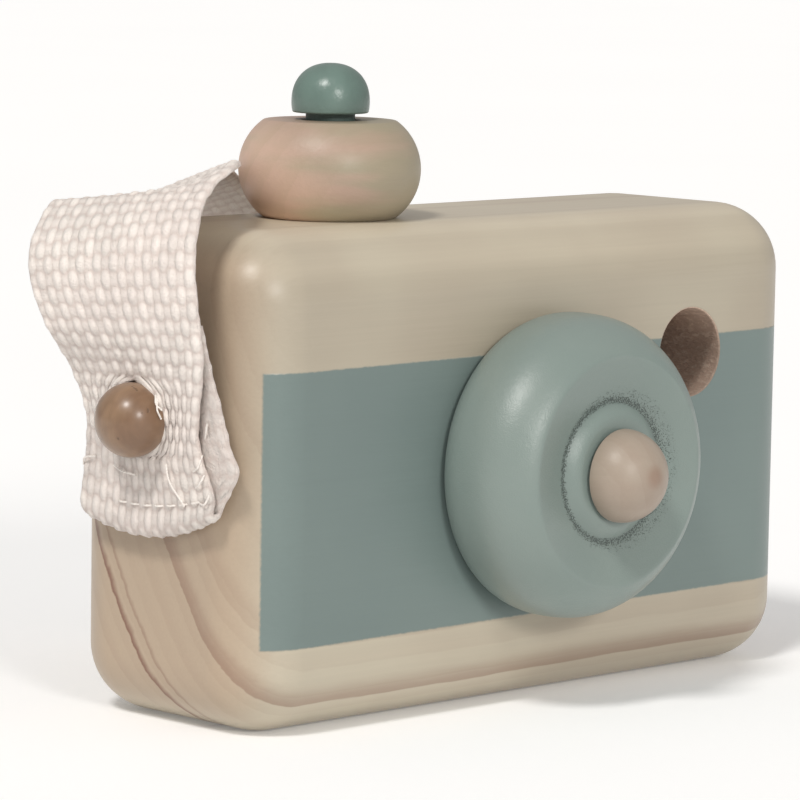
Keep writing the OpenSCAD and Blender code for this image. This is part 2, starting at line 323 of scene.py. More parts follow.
BLOCK_PITH = (-105.6, 89.9)
BLOCK_RING = 3.7
BLOCK_LINES = (
    (119.8, 3.6, 0.72), (131.9, 0.8, 0.55), (134.7, 1.3, 1.25),
    (126.0, 3.0, 0.10), (112.0, 4.0, 0.22),
)
PINE = rgb(0.485, 0.432, 0.336), rgb(0.452, 0.394, 0.306)
PINE_END = rgb(0.425, 0.330, 0.240)
PINE_LINE = rgb(0.205, 0.105, 0.070)
END_GRAIN_FROM, END_GRAIN_TO = 57.0, 64.0
# Painted light and shade on the block, by axis, where the change starts and ends, and its size:
# lighter low down, darker to the right, lighter along the top edge and on the top face.
BLOCK_PAINTED_LIGHT = (
    (2, 8.0, 60.0, -0.115), (0, 10.0, 60.0, -0.06), (2, 71.0, 74.0, 0.10), (2, 76.5, 79.4, 0.20)
)

RAW_WOOD = rgb(0.31, 0.222, 0.172), rgb(0.44, 0.34, 0.27)
# The bore's tone, and the painted light on its upper wall.
RAW_SHADE, BORE_PAINTED_LIGHT = 0.84, 1.1
RAW_EDGE_FROM, RAW_EDGE_TO = 0.15, 0.3


def painted_band(finish, vector, x, y, z):
    """Share of paint on the block's front, with a slightly uneven edge."""
    edge = finish.noise(vector, 1.3, 2.0) * BAND_WOBBLE - BAND_WOBBLE / 2
    level = z + edge - (x + BAND_SIDE) * BAND_TILT
    band = level.rise(BAND_LOW - BAND_BLUR, BAND_LOW + BAND_BLUR)
    band = band * (1.0 - level.rise(BAND_HIGH - BAND_BLUR, BAND_HIGH + BAND_BLUR))
    band = band * (1.0 - (abs(x) + edge).rise(BAND_SIDE - BAND_BLUR, BAND_SIDE + BAND_BLUR))
    return band * (1.0 - y.rise(-1.0, 1.0))


def sight_bore(finish, x, y, z):
    """Share of the drilled hole, how torn its wood is, and the raw wood's colour with painted
    light on the upper wall.
    """
    bore_r = SIGHT["dims"]["r_mm"]
    sight_x, sight_z = (SIGHT["pos_m"][axis] / MM for axis in (0, 2))
    off_axis = ((x - sight_x) ** 2.0 + (z - sight_z) ** 2.0) ** 0.5
    in_bore = 1.0 - off_axis.rise(bore_r + RAW_EDGE_FROM, bore_r + RAW_EDGE_TO)
    torn = finish.noise(finish.vector(x, y * 0.45, z), 1.6, 3.0, 0.7)
    raw = finish.mix(*RAW_WOOD, torn.rise(0.45, 0.75))
    # Painted light: the hole's upper wall is lighter, its lower wall darker.
    raw = finish.shade(raw, RAW_SHADE + (z - sight_z).rise(-1.0, bore_r) * BORE_PAINTED_LIGHT)
    return in_bore, torn, raw


def block_finish():
    """Pale pine with a sage band painted on the front and a raw drilled hole."""
    finish = Finish("block_pine_and_paint", Specular_IOR_Level=0.45)
    vector, x, y, z = finish.place()
    line, fibre = wood_figure(finish, x, y, z, BLOCK_PITH, BLOCK_RING, BLOCK_LINES)
    cloud = finish.noise(vector, 0.03, 2.0)
    pine = finish.mix(*PINE, cloud.rise(0.35, 0.65))
    pine = finish.mix(pine, PINE_END, abs(x).rise(END_GRAIN_FROM, END_GRAIN_TO))
    pine = finish.mix(pine, PINE_LINE, line * 0.75)
    # Painted light and shade: the front lighter low down and darker to the right, the top lighter.
    tone = 1.0
    for axis, start, end, change in BLOCK_PAINTED_LIGHT:
        tone = tone + (x, y, z)[axis].rise(start, end) * change
    pine = finish.shade(pine, tone + fibre * 0.10)
    in_bore, torn, raw = sight_bore(finish, x, y, z)
    pine = finish.mix(pine, raw, in_bore)
    band = painted_band(finish, vector, x, y, z) * (1.0 - in_bore)
    sage = finish.mix(*SAGE, cloud.rise(0.3, 0.7))
    sage = finish.shade(sage, 0.97 + fibre * 0.06 - line * 0.03)
    colour = finish.mix(pine, sage, band)
    roughness = 0.31 + fibre * 0.12 + in_bore * 0.3
    height = band * 0.6 + fibre * 0.25 - line * 0.10 + in_bore * torn * 3.0
    return finish.finish(colour, roughness, height, 0.10)


TURNED_PITH = (26.0, 9.0)
PAINTED_LIGHT_FROM, PAINTED_LIGHT_TO, PAINTED_LIGHT_GAIN = 0.4, 1.4, 0.6
TIP_IN_R, TIP_OUT_R, TIP_DEPTH = 0.6, 2.6, 3.0
TIP_BROWN, TIP_STRENGTH = rgb(0.27, 0.17, 0.12), 0.65


def from_centre(place, centre):
    """A place in millimetres, measured from a centre in metres."""
    return [at - middle / MM for at, middle in zip(place, centre)]


def reach_along(off, way):
    """How far a place reaches in a direction."""
    return off[0] * way[0] + off[1] * way[1] + off[2] * way[2]


def turned_wood_finish(name, axis, centre, tints, spacing, lean=None, pale=None, tip=None):
    """Natural turned wood with the grain along one axis through centre.

    The second tint takes over the way that lean points, partly a real tint and partly painted
    shade, and painted light makes the wood lighter the way that pale points. A tip, as a place
    on the axis, gets a dark spot of end grain."""
    finish = Finish(name, Specular_IOR_Level=0.45)
    _, *place = finish.place()
    off = from_centre(place, centre)
    along = off[axis]
    across, upward = (off[i] for i in range(3) if i != axis)
    line, fibre = wood_figure(finish, along, across, upward, TURNED_PITH, spacing)
    patch = finish.noise(finish.vector(along * 0.035, across * 0.035, upward * 0.2), 1.0, 2.0)
    # The lean is partly the wood's own tint and partly painted shade on the side away from the
    # lamps.
    if lean is not None:
        patch = patch + reach_along(off, lean)
    colour = finish.mix(tints[0], tints[1], patch.rise(0.44, 0.74))
    colour = finish.mix(colour, tints[2], line * 1.5)
    colour = finish.shade(colour, 0.95 + fibre * 0.10)
    if pale is not None:
        # Painted light: the knob is lighter on its left and lower side, where light falls on it.
        painted_light = reach_along(off, pale).rise(PAINTED_LIGHT_FROM, PAINTED_LIGHT_TO)
        colour = finish.shade(colour, 1.0 + painted_light * PAINTED_LIGHT_GAIN)
    if tip is not None:
        spot = 1.0 - ((across ** 2.0 + upward ** 2.0) ** 0.5).rise(TIP_IN_R, TIP_OUT_R)
        spot = spot * (1.0 - place[axis].rise(tip, tip + TIP_DEPTH))
        colour = finish.mix(colour, TIP_BROWN, spot * TIP_STRENGTH)
    return finish.finish(colour, 0.36 + fibre * 0.12, fibre, 0.05)


# Paint and lacquer

MINT = rgb(0.205, 0.255, 0.234), rgb(0.218, 0.265, 0.243)
PIT_DARK = rgb(0.045, 0.058, 0.052)
PIT_SPREAD, PIT_LEAN = 3.2, 1.8
PAINTED_SHADE_FROM, PAINTED_SHADE_TO, PAINTED_SHADE_LOSS = 0.1, 1.0, 0.22
PEG_BROWN = rgb(0.182, 0.100, 0.053), rgb(0.248, 0.150, 0.085)
PORE_BROWN = rgb(0.10, 0.055, 0.03)
STEEL = rgb(0.50, 0.50, 0.51), rgb(0.66, 0.66, 0.67)
FLOOR_WHITE = rgb(0.93, 0.93, 0.93), rgb(0.95, 0.95, 0.95)


def lens_finish():
    """Satin mint paint, pitted dark where the dish meets the hub."""
    finish = Finish("lens_mint_paint", Specular_IOR_Level=0.5)
    vector, x, y, z = finish.place()
    off_axis = (x ** 2.0 + (z - LENS_AXIS.z / MM) ** 2.0) ** 0.5
    face = 1.0 - y.rise(LENS_FACE_Y / MM - 0.2, LENS_FACE_Y / MM + 0.8)
    cloud = finish.noise(vector, 0.05, 3.0)
    mint = finish.mix(*MINT, cloud.rise(0.35, 0.65))
    grit = finish.noise(vector, 4.2, 2.0, 0.6)
    past = off_axis - LENS_VALLEY_R
    fade = (past / (PIT_SPREAD + x / off_axis * PIT_LEAN)).rise(0.0, 1.0)
    spread = past.rise(-0.3, 0.1) * (1.0 - fade) * face
    seam = past.rise(-0.5, -0.1) * (1.0 - past.rise(0.4, 1.3)) * face
    pits = (grit + seam * 0.09 + spread * 0.10).rise(0.64, 0.70) * spread.most(seam).rise(0.0, 0.4)
    colour = finish.mix(mint, PIT_DARK, pits * 0.75)
    peel = finish.noise(vector, 0.9, 2.0, 0.6)
    roughness = 0.32 + pits * 0.3
    height = peel * 0.3 + grit * (0.35 + spread * 0.6) - pits * 0.6
    return finish.finish(colour, roughness, height, 0.12)


def paint_finish(name, tints, roughness, centre=None, dim=None):
    """Even satin paint over sanded wood, with painted shade the way that dim points from centre.
    """
    finish = Finish(name, Specular_IOR_Level=0.5)
    vector, *place = finish.place()
    cloud = finish.noise(vector, 0.25, 2.0)
    peel = finish.noise(vector, 1.2, 2.0)
    colour = finish.mix(*tints, cloud.rise(0.35, 0.7))
    if dim is not None:
        # Painted shade: the paint is darker on the side away from the lamps.
        painted_shade = reach_along(from_centre(place, centre), dim).rise(PAINTED_SHADE_FROM, PAINTED_SHADE_TO)
        colour = finish.shade(colour, 1.0 - painted_shade * PAINTED_SHADE_LOSS)
    return finish.finish(colour, roughness + peel * 0.12, peel, 0.06)


def lacquer_finish():
    """Brown stained wood under clear gloss, with streaks and small pores."""
    finish = Finish("peg_brown_lacquer", Specular_IOR_Level=0.5, Coat_Roughness=0.24)
    vector, x, y, z = finish.place()
    streak = finish.noise(finish.vector(x * 0.25, y * 1.1, z * 0.35), 1.0, 3.0, 0.6)
    cloud = finish.noise(vector, 0.22, 2.0)
    colour = finish.mix(*PEG_BROWN, cloud.rise(0.35, 0.65))
    colour = finish.shade(colour, 0.80 + streak * 0.4)
    pore = finish.noise(vector, 0.75, 1.0).rise(0.73, 0.76)
    colour = finish.mix(colour, PORE_BROWN, pore * 0.6)
    return finish.finish(colour, 0.38 + streak * 0.1, streak - pore, 0.05, coat=0.55 - pore * 0.3)


def steel_finish():
    """Bright drawn wire."""
    finish = Finish("spring_steel", Metallic=1.0)
    vector, *_ = finish.place()
    drawn = finish.noise(vector, 1.5, 3.0)
    colour = finish.mix(*STEEL, drawn)
    return finish.finish(colour, 0.25 + drawn * 0.15)


def floor_finish():
    """Pale, nearly even floor with a faint glow that keeps it white."""
    finish = Finish(
        "pale_floor", Roughness=0.9, Specular_IOR_Level=0.1,
        Emission_Color=rgb(1, 1, 1), Emission_Strength=FLOOR_GLOW,
    )
    vector, *_ = finish.place()
    return finish.finish(finish.mix(*FLOOR_WHITE, finish.noise(vector, 0.004)))


# Cotton

# The weave's column width, row length and yarn shapes, for the mesh and the finish alike.
COLUMN = 1.64
ROW = 2.5
FLOAT_SHARE = 0.66
WEFT_SHARE = 0.46
WEFT_HEIGHT = 0.62
COLUMN_DIP = 0.55
WEFT_DIP = 0.35
COTTON = rgb(0.90, 0.83, 0.77), rgb(0.88, 0.795, 0.74)
# Painted shade for the hollows between the yarns.
COTTON_CREVICE_SHADE = rgb(0.74, 0.64, 0.585)
END_SHADE_FROM, END_SHADE_TO = 6.0, 22.0
THREAD_WHITE = rgb(0.87, 0.81, 0.75), rgb(0.90, 0.85, 0.80)
TWIST = 3.0


def webbing_finish():
    """Undyed cotton in plain weave: long floats in staggered columns over the cross threads."""
    finish = Finish(
        "cotton_webbing", Specular_IOR_Level=0.2, Sheen_Weight=0.2, Sheen_Roughness=0.5
    )
    uv = finish.node("ShaderNodeUVMap", {"uv_map": "weave"})
    split = finish.node("ShaderNodeSeparateXYZ", inputs={0: uv}).socket.node
    across, along = (Value(finish, split.outputs[axis]) for axis in "XY")
    vector, *_ = finish.place()
    column = (across + finish.noise(vector, 0.7) * 0.5 - 0.25) / COLUMN
    beside = abs(column.fraction() - 0.5) * 2.0
    cycle = ((along + finish.noise(vector, 0.5) * 0.8 - 0.4) / ROW + column.floor()) * 0.5
    from_top = abs((cycle + 0.5).fraction() - 0.5) * 2.0
    warp = (1.0 - beside ** 2.0 * COLUMN_DIP - (from_top / FLOAT_SHARE) ** 2.0).most(0.0)
    weft = (1.0 - beside ** 2.0 * WEFT_DIP - ((1.0 - from_top) / WEFT_SHARE) ** 2.0).most(0.0)
    yarn = warp.most(weft * WEFT_HEIGHT)
    cloud = finish.noise(vector, 0.08, 2.0)
    cotton = finish.mix(*COTTON, cloud.rise(0.35, 0.65))
    # Painted shade: the ground between the yarns is darker.
    colour = finish.mix(COTTON_CREVICE_SHADE, cotton, yarn.rise(0.0, 0.8))
    spun = finish.noise(finish.vector(across * 3.4 + along * 0.6, along * 1.3, 0.0), 1.0, 3.0, 0.7)
    fuzz = finish.noise(vector, 2.6, 3.0, 0.75)
    float_tone = finish.chance(column.floor() * 7.3 + (cycle + 0.5).floor() * 3.1)
    # Painted shade: the strap is darker at its left end and on the layer turned back there.
    painted_end_shade = 1.0 - along.rise(END_SHADE_FROM, END_SHADE_TO)
    colour = finish.shade(colour, 0.88 + spun * 0.16 + float_tone * 0.12 - painted_end_shade * 0.10)
    height = yarn * yarn * 1.6 + spun + fuzz * 1.2
    return finish.finish(colour, 0.7 + fuzz * 0.15, height, 0.25)


def thread_finish():
    """White sewing thread with its twist."""
    finish = Finish("sewing_thread", Specular_IOR_Level=0.25, Sheen_Weight=0.2)
    vector, _, y, z = finish.place()
    twist = ((y * TWIST + z * TWIST) * math.pi).cosine()
    colour = finish.mix(*THREAD_WHITE, finish.noise(vector, 1.0))
    return finish.finish(colour, 0.7 + twist * 0.05, twist, 0.05)


# Piece making

CREASE = 35
TURNED_CREASE = 50
TURN_SIDES = 112
EDGE_ARC = 5
MERGE = 0.002
TOUCH = 0.01


def add_piece(name, mesh, finish, body, nodes=()):
    """Shows a finished mesh as a piece that rides on a body and stands for CAD nodes."""
    mesh.materials.append(finish)
    piece = bpy.data.objects.new(name, mesh)
    bpy.context.scene.collection.objects.link(piece)
    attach(piece, body)
    if nodes:
        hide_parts(*nodes)
    return piece


def smooth_mesh(name, bm, crease=CREASE):
    """Turns a bmesh into a smooth mesh with sharp edges above the crease angle in degrees."""
    mesh = bpy.data.meshes.new(name)
    bm.to_mesh(mesh)
    bm.free()
    mesh.shade_smooth()
    mesh.set_sharp_from_angle(angle=math.radians(crease))
    return mesh


def add_shape(name, bm, finish, body, nodes=(), crease=CREASE):
    """Shows a bmesh as a smooth piece."""
    return add_piece(name, smooth_mesh(name, bm, crease), finish, body, nodes)


def arc(middle, half, start, end, steps):
    """Points of an elliptic arc between two angles in degrees."""
    angles = (math.radians(start + (end - start) * i / steps) for i in range(steps + 1))
    (r, h), (wide, high) = middle, half
    return [(r + wide * math.cos(a), h + high * math.sin(a)) for a in angles]


def turned(outline, base, axis, steps=TURN_SIDES, closed=False):
    """Spins an outline of (radius, height) points in millimetres about an axis through base."""
    axis = Vector(axis)
    side = axis.orthogonal().normalized()
    bm = bmesh.new()
    verts = [bm.verts.new(base + (side * r + axis * h) * MM) for r, h in outline]
    ring = verts + verts[:1] if closed else verts
    edges = [bm.edges.new(pair) for pair in zip(ring, ring[1:])]
    bmesh.ops.spin(
        bm, geom=verts + edges, cent=base, axis=axis, angle=math.tau, steps=steps, use_merge=True
    )
    bmesh.ops.remove_doubles(bm, verts=bm.verts, dist=MERGE * MM)
    bmesh.ops.recalc_face_normals(bm, faces=bm.faces)
    return bm


# Body block

EDGE_R = 11.2
EDGE_STEPS = 16
SIGHT_RIM = 0.4
RIM_STEPS = 3
RIM_REACH = 0.05
BORE_STEPS = 96
OVERRUN = 1.0
GLUE_GAP = 0.05
CHAMBER_R = 7.1


def bore(bm, start, end, radius):
    """Adds a cutting cylinder between two points."""
    way = end - start
    turn = way.to_track_quat("Z", "Y").to_matrix().to_4x4()
    bmesh.ops.create_cone(
        bm, cap_ends=True, segments=BORE_STEPS, radius1=radius, radius2=radius, depth=way.length,
        matrix=Matrix.Translation((start + end) / 2) @ turn,
    )


def body_cutters():
    """The block's sight hole, peg holes, spigot socket and spring chamber in one mesh."""

    def on_button_axis(z):
        return Vector((BUTTON_AXIS.x, BUTTON_AXIS.y, z))

    bm = bmesh.new()
    past = OVERRUN * MM
    glue = GLUE_GAP * MM
    middle = Vector(SIGHT["pos_m"])
    half = Vector((0, (BLOCK_HIGH.y - BLOCK_LOW.y) / 2 + past, 0))
    bore(bm, middle - half, middle + half, SIGHT["dims"]["r_mm"] * MM)
    mouth = Vector((0, BLOCK_LOW.y - past, LENS_AXIS.z))
    peg_end = Vector((0, node_box("lens_peg")[1].y, LENS_AXIS.z))
    bore(bm, mouth, peg_end, PEG_SHANK_R * MM + glue)
    for node, inner, outer in (
        ("strap_peg_left", 1, BLOCK_LOW.x - past), ("strap_peg_right", 0, BLOCK_HIGH.x + past)
    ):
        box = node_box(node)
        y, z = ((box[0][i] + box[1][i]) / 2 for i in (1, 2))
        bore(bm, Vector((outer, y, z)), Vector((box[inner].x, y, z)), BALL_SHANK_R * MM + glue)
    socket = node_box("shutter_knob")[0].z
    chamber = min(node_box(node)[0].z for node in ("button_spring", "button_plunger"))
    top = BLOCK_HIGH.z + past
    bore(bm, on_button_axis(top), on_button_axis(socket), SPIGOT_R * MM + glue)
    bore(bm, on_button_axis(socket + past), on_button_axis(chamber), CHAMBER_R * MM)
    return bm


def rounded_block():
    """The plain block with all its edges rounded."""
    size = BLOCK_HIGH - BLOCK_LOW
    box = Matrix.Translation((BLOCK_LOW + BLOCK_HIGH) / 2) @ Matrix.Diagonal((*size, 1))
    bm = bmesh.new()
    bmesh.ops.create_cube(bm, size=1.0, matrix=box)
    bmesh.ops.bevel(
        bm, geom=bm.edges[:], offset=EDGE_R * MM, segments=EDGE_STEPS, profile=0.5,
        affect="EDGES", material=-1,
    )
    return bm


def drilled(solid, cutters):
    """Cuts one bmesh out of another."""
    block = bpy.data.objects.new("block", bpy.data.meshes.new("block"))
    cutter = bpy.data.objects.new("cutter", bpy.data.meshes.new("cutter"))
    for piece, shape in ((block, solid), (cutter, cutters)):
        shape.to_mesh(piece.data)
        shape.free()
        bpy.context.scene.collection.objects.link(piece)
    drill = block.modifiers.new("drill", "BOOLEAN")
    drill.object = cutter
    drill.use_self = True
    cut = block.evaluated_get(bpy.context.evaluated_depsgraph_get())
    bm = bmesh.new()
    bm.from_mesh(cut.to_mesh())
    for piece in (block, cutter):
        bpy.data.objects.remove(piece)
    bmesh.ops.remove_doubles(bm, verts=bm.verts, dist=MERGE * MM)
    return bm


def ease_sight_rim(bm):
    """Bevels the sight hole's edges on the block's front and back."""
    sight = Vector(SIGHT["pos_m"])
    reach = SIGHT["dims"]["r_mm"] * MM + RIM_REACH * MM

    def on_rim(vert):
        off_face = min(abs(vert.co.y - BLOCK_LOW.y), abs(vert.co.y - BLOCK_HIGH.y))
        off_axis = math.hypot(vert.co.x - sight.x, vert.co.z - sight.z)
        return off_face < TOUCH * MM and off_axis < reach

    rim = [edge for edge in bm.edges if all(on_rim(vert) for vert in edge.verts)]
    bmesh.ops.bevel(
        bm, geom=rim, offset=SIGHT_RIM * MM, segments=RIM_STEPS, profile=0.5,
        affect="EDGES", material=-1,
    )


def make_block(finish):
    bm = drilled(rounded_block(), body_cutters())
    ease_sight_rim(bm)
    block = add_shape("wooden_block", bm, finish, "camera", ["body_block"])
    block.modifiers.new("even_shading", "WEIGHTED_NORMAL").keep_sharp = True


# Lens wheel and its peg

LENS_GAP = 0.4
LENS_R = 24.9
LENS_DEPTH = 16.8
LENS_BACK_R = 22.6
LENS_BELLY = 4.6
LENS_RIM_R = 19.3
LENS_LIP = 0.6
# The rim's soft edge as steps inwards and down from its corner.
RIM_EASE = ((0.0, 0.2), (0.3, 0.03))
LENS_VALLEY_R = 11.2
LENS_DISH = 1.9
DISH_CONE = 0.85
LENS_HUB_R = 8.2
LENS_HUB_DROP = 0.3
SHOULDER_POWER = 3
SHOULDER_STEPS = 24
LENS_SIDES = 144
LENS_FACE_Y = BLOCK_LOW.y - (LENS_GAP + LENS_DEPTH - LENS_DISH) * MM

PEG_SHANK_R = 4.0
PEG_CHAMFER = 0.6
RUN_GAP = 0.08
HEAD_R = 7.6
HEAD_GAP = 0.6
HEAD_SAG = 0.5
HEAD_EDGE = 0.25
HEAD_STEPS = 22
HEAD_RING = 3.4
HEAD_TINTS = rgb(0.358, 0.294, 0.235), rgb(0.345, 0.273, 0.218), rgb(0.28, 0.20, 0.15)
TURN_STEPS = 14


def slope(first, last, steps, straight=0.0):
    """Points from one (radius, height) point to another, steep at first and level at last.

    A share of the rise may be straight."""
    out, up = last[0] - first[0], last[1] - first[1]
    points = []
    for t in (i / steps for i in range(1, steps + 1)):
        rise = straight * t + (1 - straight) * math.sin(math.pi * t / 2)
        points.append((first[0] + out * t, first[1] + up * rise))
    return points


def lens_shoulder():
    """Points from the wheel's belly to its rim, turning in late."""
    inward, rise = LENS_RIM_R - LENS_R, LENS_DEPTH - LENS_BELLY
    shares = [i / SHOULDER_STEPS for i in range(1, SHOULDER_STEPS + 1)]
    return [(LENS_R + inward * t ** SHOULDER_POWER, LENS_BELLY + rise * t) for t in shares]


def make_lens(finish):
    valley = (LENS_VALLEY_R, LENS_DEPTH - LENS_DISH)
    hub = (LENS_HUB_R, LENS_DEPTH - LENS_HUB_DROP)
    lip = (LENS_RIM_R - LENS_LIP, LENS_DEPTH)
    back = (LENS_R - LENS_BACK_R, LENS_BELLY)
    bore_r = PEG_SHANK_R + RUN_GAP
    outline = [(bore_r, 0.0)]
    outline += arc((LENS_BACK_R, LENS_BELLY), back, -90, 0, TURN_STEPS)
    outline += lens_shoulder()[:-1]
    outline += [(LENS_RIM_R - inward, LENS_DEPTH - down) for inward, down in RIM_EASE]
    outline += slope(valley, lip, TURN_STEPS, DISH_CONE)[::-1] + [valley]
    outline += slope(valley, hub, TURN_STEPS) + [(bore_r, hub[1])]
    base = Vector((0, BLOCK_LOW.y - LENS_GAP * MM, LENS_AXIS.z))
    bm = turned(outline, base, (0, -1, 0), LENS_SIDES, closed=True)
    add_shape("lens_ring", bm, finish, "lens", ["lens_wheel"], TURNED_CREASE)


def make_lens_peg(finish):
    low, high = node_box("lens_peg")
    base_y = BLOCK_LOW.y - (LENS_GAP + LENS_DEPTH - LENS_HUB_DROP + HEAD_GAP) * MM
    shank = (high.y - base_y) / MM
    head = (base_y - low.y) / MM
    outline = [(0.0, -shank), (PEG_SHANK_R - PEG_CHAMFER, -shank)]
    outline += [(PEG_SHANK_R, PEG_CHAMFER - shank), (PEG_SHANK_R, 0.0)]
    outline += arc((HEAD_R - HEAD_EDGE, HEAD_EDGE), (HEAD_EDGE, HEAD_EDGE), -90, 0, EDGE_ARC)
    outline += arc((0.0, HEAD_EDGE), (HEAD_R, head - HEAD_EDGE), 0, 90, HEAD_STEPS)[1:]
    bm = turned(outline, Vector((0, base_y, LENS_AXIS.z)), (0, -1, 0))
    head_verts = [vert for vert in bm.verts if vert.co.y < base_y + TOUCH * MM]
    bmesh.ops.translate(bm, verts=head_verts, vec=(0, 0, -HEAD_SAG * MM))
    add_shape("lens_centre_peg", bm, finish, "camera", ["lens_peg"])


# Shutter knob and button

KNOB_R = 14.8
KNOB_H = 15.8
KNOB_FLAT_R = 10.7
KNOB_LIP = 0.9
KNOB_BORE_R = 4.6
KNOB_BORE_LIP = 0.5
KNOB_BORE_ARC = 4
KNOB_STEPS = 30
KNOB_RING = 4.2
KNOB_TINTS = rgb(0.425, 0.300, 0.233), rgb(0.330, 0.284, 0.200), rgb(0.33, 0.25, 0.165)
# The ways that the knob's second tint, which carries painted shade, and its painted light lie,
# and the way of the dome's painted shade.
KNOB_TINT_AND_SHADE_WAY = (0.014, -0.014, -0.006)
KNOB_PAINTED_LIGHT_WAY = (-0.047, 0.047, -0.06)
CAP_PAINTED_SHADE_WAY = (0.112, -0.110, 0.0)
SPIGOT_R = 8.5

STEM_R = 4.0
STEM_SEAT = 4.5
# The stem's green is darker than the dome's: painted shade under the dome.
STEM_PAINT_AND_SHADE = rgb(0.10, 0.15, 0.135), rgb(0.08, 0.12, 0.105)
STEM_ROUGHNESS = 0.5
CAP_R = 6.35
CAP_EDGE = 0.35
CAP_EDGE_ARC = 4
CAP_STEPS = 26
CAP_FULLNESS = 2.25
CAP_PAINT = rgb(0.138, 0.205, 0.178), rgb(0.126, 0.188, 0.163)
CAP_ROUGHNESS = 0.26


def make_knob(finish):
    low, high = node_box("shutter_knob")
    bulge = KNOB_R - KNOB_FLAT_R
    side_r = (bulge ** 2 + (KNOB_H / 2) ** 2) / (2 * bulge)
    reach = math.degrees(math.asin((KNOB_H / 2 - KNOB_LIP) / (side_r - KNOB_LIP)))
    side = arc((KNOB_R - side_r, KNOB_H / 2), (side_r, side_r), -reach, reach, KNOB_STEPS)
    flat_r = KNOB_R - side_r + (side_r - KNOB_LIP) * math.cos(math.radians(reach))
    spigot = (high.z - low.z) / MM - KNOB_H
    lip, bore_lip = (KNOB_LIP, KNOB_LIP), (KNOB_BORE_LIP, KNOB_BORE_LIP)
    bore_edge = (KNOB_BORE_R + KNOB_BORE_LIP, KNOB_H - KNOB_BORE_LIP)
    outline = [(KNOB_BORE_R, -spigot), (SPIGOT_R, -spigot), (SPIGOT_R, 0.0)]
    outline += arc((flat_r, KNOB_LIP), lip, -90, -reach, EDGE_ARC)[:-1] + side
    outline += arc((flat_r, KNOB_H - KNOB_LIP), lip, reach, 90, EDGE_ARC)[1:]
    outline += arc(bore_edge, bore_lip, 90, 180, KNOB_BORE_ARC)
    base = Vector((BUTTON_AXIS.x, BUTTON_AXIS.y, high.z - KNOB_H * MM))
    bm = turned(outline, base, (0, 0, 1), closed=True)
    add_shape("knob_bead", bm, finish, "camera", ["shutter_knob"], TURNED_CREASE)


def fuller_top(points, middle):
    """Pushes a dome's upper points out, for a squarer top of the same width and height."""
    power = CAP_FULLNESS
    full = []
    for r, h in points:
        up = max(h - middle, 0.0)
        size = ((r / CAP_R) ** power + (up / CAP_R) ** power) ** (1 / power)
        full.append((r / size, middle + up / size) if up else (r, h))
    return full


def make_cap(finish):
    low, high = node_box("button_cap")
    height = (high.z - low.z) / MM
    middle = height - CAP_R
    drop = math.degrees(math.asin((middle - CAP_EDGE) / CAP_R))
    dome = fuller_top(arc((0.0, middle), (CAP_R, CAP_R), -drop, 90, CAP_STEPS), middle)
    edge = (dome[0][0] - CAP_EDGE, CAP_EDGE)
    seat_r = STEM_R + GLUE_GAP
    outline = [(0.0, STEM_SEAT), (seat_r, STEM_SEAT), (seat_r, 0.0)]
    outline += arc(edge, (CAP_EDGE, CAP_EDGE), -90, -10, CAP_EDGE_ARC) + dome
    bm = turned(outline, Vector((BUTTON_AXIS.x, BUTTON_AXIS.y, low.z)), (0, 0, 1))
    add_shape("button_dome", bm, finish, "button", ["button_cap"])


# Strap pegs

BALL_R = 5.9
BALL_SHANK_R = 3.5
BALL_TIP = 0.25
BALL_CHAMFER = 0.5
BALL_STEPS = 34


def peg_ball(node, out):
    """Middle of a strap peg's ball in millimetres."""
    low, high = node_box(node)
    tip = high.x if out > 0 else low.x
    place = (tip - out * BALL_R * MM, (low.y + high.y) / 2, (low.z + high.z) / 2)
    return np.array(place) / MM


def make_strap_peg(name, node, out, finish):
    """A ball-headed peg that points out of the block's side."""
    low, high = node_box(node)
    shank = (high.x - low.x) / MM - BALL_R
    neck = math.degrees(math.acos(BALL_SHANK_R / BALL_R))
    outline = [(0.0, -shank), (BALL_SHANK_R - BALL_CHAMFER, -shank)]
    outline += [(BALL_SHANK_R, BALL_CHAMFER - shank)]
    outline += arc((0.0, 0.0), (BALL_R, BALL_R - BALL_TIP), -neck, 90, BALL_STEPS)
    bm = turned(outline, Vector(peg_ball(node, out)) * MM, (out, 0, 0))
    add_shape(name, bm, finish, "camera", [node])


# Strap

STRAP_W = 32.8
STRAP_T = 2.0
STRAP_CORE_T = 1.25
SELVEDGE = 0.75
STRAP_GAP = 0.3
STRAP_TAIL = 16.0
STRAP_TURN = 32.0
LAYER_STEP = 2.0
KNOB_D = 2 * KNOB_R
WEAVE_RISE = 0.36
WEAVE_UNEVEN = 0.16
COLUMN_STEPS = 4
ROUTE_STEPS = 24
SEEN_LENGTH = 135.0
SEEN_ROW_STEPS = 4
REST_ROW_STEPS = 2

# Rows of the strap's route in millimetres: a place on its front edge, measured from the
# group's anchor, and the direction across the strap to its back edge.
ROUTE_LEFT_PEG = [
    ((0, 0, -STRAP_TAIL), (0, 1, 0)),
    ((-0.3, 0, -7), (0.01, 1, 0)),
    ((-1, 0, 0), (0.02, 1, 0)),
]
ROUTE_OVER_CORNER = [
    ((-6.2, 0, -21.5), (0, 1, -0.03)),
    ((-8, 0, -13.5), (-0.1, 1, -0.06)),
    ((-8.3, 1, -5.5), (-0.17, 1, -0.08)),
    ((-6.4, 2.5, 1.5), (-0.18, 1, -0.12)),
    ((-2.7, 5.8, 6.3), (-0.03, 1, -0.11)),
    ((3, 9.9, 8.2), (-0.06, 1, -0.35)),
    ((11.1, 16.4, 8.6), (-0.29, 1, -0.41)),
]
ROUTE_PAST_KNOB = [
    ((-0.4, -5.9, 7.8), (-0.51, 1, -0.45)),
    ((11.4, 4.2, 5.6), (-0.47, 1, -0.36)),
]
ROUTE_DOWN_BACK = [
    ((7.2, 1.9, 0), (-0.42, 1, -0.27)),
    ((12.6, 5, -9.5), (-0.33, 1, -0.25)),
    ((15.4, 6, -24.5), (-0.2, 1, -0.12)),
]
